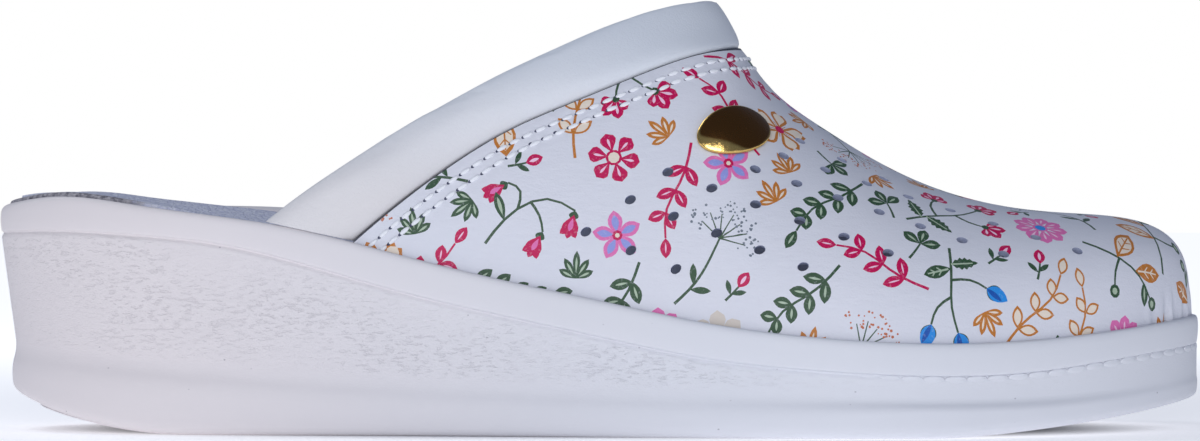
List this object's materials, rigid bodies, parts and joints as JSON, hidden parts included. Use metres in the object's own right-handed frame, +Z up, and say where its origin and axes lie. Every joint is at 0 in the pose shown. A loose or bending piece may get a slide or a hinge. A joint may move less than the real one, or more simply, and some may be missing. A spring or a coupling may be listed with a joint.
{
  "type": "house slipper",
  "caption": "Right-foot house clog with a white wedge sole, an open heel, a padded collar and a vented white vamp printed with small wildflowers.",
  "frame": {"origin": "on the floor under the middle of the shoe's box", "axes": "+X towards the toe, +Y towards the inner side of the foot, +Z up"},
  "size_m": [0.255, 0.092, 0.0906],
  "materials": {
    "sole_white": "moulded, finely grained wall between a smooth rim and a smooth bottom band",
    "insole_leather": "matt, light grey",
    "printed_leather": "smooth, white, with a small wildflower print",
    "collar_leather": "soft, white, padded",
    "stud_brass": "polished, aged brass"
  },
  "bodies": {
    "root": {"sole_unit": "sole_white", "insole": "insole_leather", "vamp": "printed_leather", "padded_collar": "collar_leather", "oval_stud": "stud_brass"}
  },
  "joints": []
}
